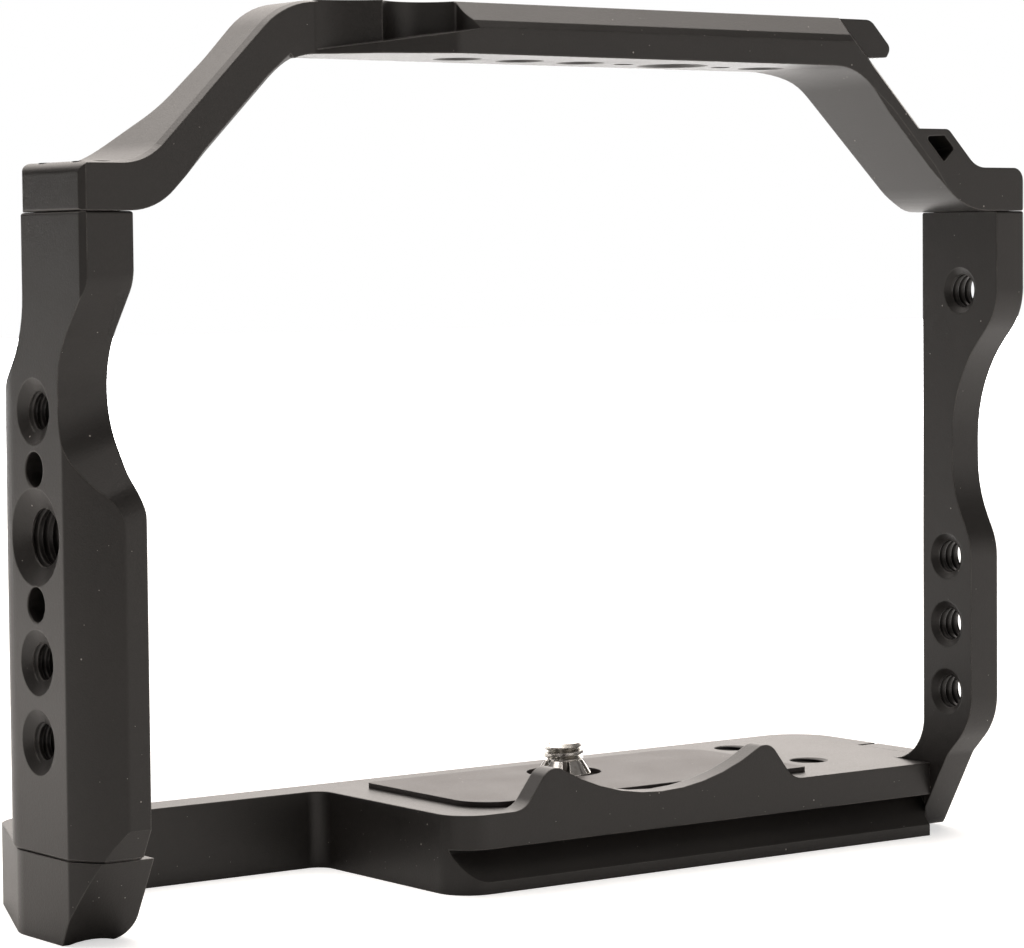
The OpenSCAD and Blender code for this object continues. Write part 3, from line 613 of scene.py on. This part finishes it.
def camera_screw():
    """The captive screw, with its thread cut into its upper end, from half a turn below the top of
    its neck to a turn above its tip."""
    low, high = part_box("camera_screw")
    middle = (low + high) / 2
    thread_low = SCREW_NECK_TOP - QUARTER["pitch"] * 0.5
    piece = copied("camera_screw", "screw")
    piece.data.materials.append(STEEL)
    length = high.z - thread_low + QUARTER["pitch"]
    groove = thread_mesh(QUARTER, SCREW_THREAD_ROOT, QUARTER["outer"] + OVERCUT, length, False)
    place = Matrix.Translation((middle.x, middle.y, thread_low))
    cut(piece, joined([groove], [place], STEEL))
    bpy.data.meshes.remove(groove)
    smooth(piece)
    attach(piece, "screw")
    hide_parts("camera_screw")


camera_screw()

# ---- Joining screws and dowels ----


def paint_all(word, material):
    """Paints every CAD node whose name holds this word."""
    for name, node in frame["nodes"].items():
        if word in name:
            for slot in node.material_slots:
                slot.material = material


paint_all("_screw_", BLACK_STEEL)
paint_all("_dowel", STEEL)

# ---- Floor and light ----

FLOOR_SIZE = 8.0
FLOOR_COLOUR = (0.85, 0.85, 0.845, 1)
WHITE = (1, 1, 1, 1)
# The way the camera looks, along the floor
AHEAD_X, AHEAD_Y = 0.588, 0.807
# Light that the floor gives off, SEEN to the camera alone, FAR to everything, well behind the cage,
# and NEAR to all but the camera, from the cage's middle to the rear, except on the left. Where it
# begins and is full is in metres ahead of the frame's origin, or to the right of it
SEEN_LEVEL = 0.6
FAR_BEGINS, FAR_FULL, FAR_LEVEL = 0.6, 2.1, 6.0
NEAR_BEGINS, NEAR_FULL, NEAR_LEVEL = 0.0, 0.15, 0.9
NEAR_LEFT_BEGINS, NEAR_LEFT_FULL = -0.3, -0.08


def seen_by_camera(graph):
    return graph.node("ShaderNodeLightPath", output="Is Camera Ray")


def floor():
    """Pale floor that gives off light: for the camera it meets the white background without a line,
    and the cage's faces mirror its bright parts."""
    half = FLOOR_SIZE / 2
    corners = [(-half, -half, 0), (half, -half, 0), (half, half, 0), (-half, half, 0)]
    mesh = bpy.data.meshes.new("floor")
    mesh.from_pydata(corners, [], [(0, 1, 2, 3)])
    plane = add_object("floor", mesh)
    material = bpy.data.materials.new("floor")
    material.use_nodes = True
    graph = Graph(material.node_tree)
    pale = graph.node("ShaderNodeBsdfDiffuse", None, {"Color": FLOOR_COLOUR})
    place = graph.node("ShaderNodeTexCoord", output="Object")
    split = graph.node("ShaderNodeSeparateXYZ", None, {"Vector": place}, "X")
    ahead = split * AHEAD_X + split.out("Y") * AHEAD_Y
    right = split * AHEAD_Y - split.out("Y") * AHEAD_X
    seen = seen_by_camera(graph)
    far = graph.ramp(ahead, FAR_BEGINS, FAR_FULL, 0.0, FAR_LEVEL)
    near = graph.ramp(ahead, NEAR_BEGINS, NEAR_FULL, 0.0, NEAR_LEVEL)
    near = near * graph.ramp(right, NEAR_LEFT_BEGINS, NEAR_LEFT_FULL)
    level = seen * SEEN_LEVEL + (1 - seen) * near + far
    lit = graph.node("ShaderNodeEmission", None, {"Color": WHITE, "Strength": level})
    both = graph.node("ShaderNodeAddShader", None, {0: pale, 1: lit})
    graph.node("ShaderNodeOutputMaterial", None, {"Surface": both})
    mesh.materials.append(material)


WARM = (1, 0.93, 0.875)
ROOM_LEVEL = 0.15
# Soft lights in the room: the way to each, the cosines to it where it begins and is full, its level
RIGHT_REAR = ((0.76, 0.65, 0.02), 0.85, 0.985, 2.15)
RIGHT_FRONT = ((0.46, -0.888, -0.06), 0.80, 0.98, 0.95)
HIGH_REAR = ((0.25, 0.62, 0.74), 0.72, 0.95, 2.5)


def room():
    """White all round for the camera. Everything else sees a dim, warm room with three soft
    lights."""
    world = bpy.data.worlds.new("studio")
    world.use_nodes = True
    bpy.context.scene.world = world
    graph = Graph(world.node_tree)
    way = graph.node("ShaderNodeTexCoord", output="Generated")
    level = ROOM_LEVEL
    for towards, begins, full, strength in (RIGHT_REAR, RIGHT_FRONT, HIGH_REAR):
        along = graph.dot(way, Vector(towards).normalized())
        level = graph.ramp(along, begins, full, 0.0, strength) + level
    seen = seen_by_camera(graph)
    colour = graph.mix(seen, (*WARM, 1), WHITE)
    inputs = {"Color": colour, "Strength": seen + (1 - seen) * level}
    shader = graph.node("ShaderNodeBackground", None, inputs)
    graph.node("ShaderNodeOutputWorld", None, {"Surface": shader})


def softbox(name, place, target, size, power):
    """A rectangular soft light that points from its place to its target."""
    data = bpy.data.lights.new(name, "AREA")
    data.shape = "RECTANGLE"
    data.size, data.size_y = size
    data.energy = power
    data.color = WARM
    lamp = bpy.data.objects.new(name, data)
    aim = (Vector(target) - Vector(place)).to_track_quat("-Z", "Y")
    lamp.matrix_world = Matrix.Translation(place) @ aim.to_matrix().to_4x4()
    bpy.context.scene.collection.objects.link(lamp)


floor()
room()
softbox("overhead", place=(-0.1, 0.1, 1.3), target=(0, 0, 0), size=(1.6, 1.6), power=13)
softbox("left_rear", place=(-0.232, 0.182, 0.0), target=(-0.085, -0.01, 0.0), size=(0.10, 0.05),
        power=0.055)

bpy.context.scene.view_settings.view_transform = "Standard"
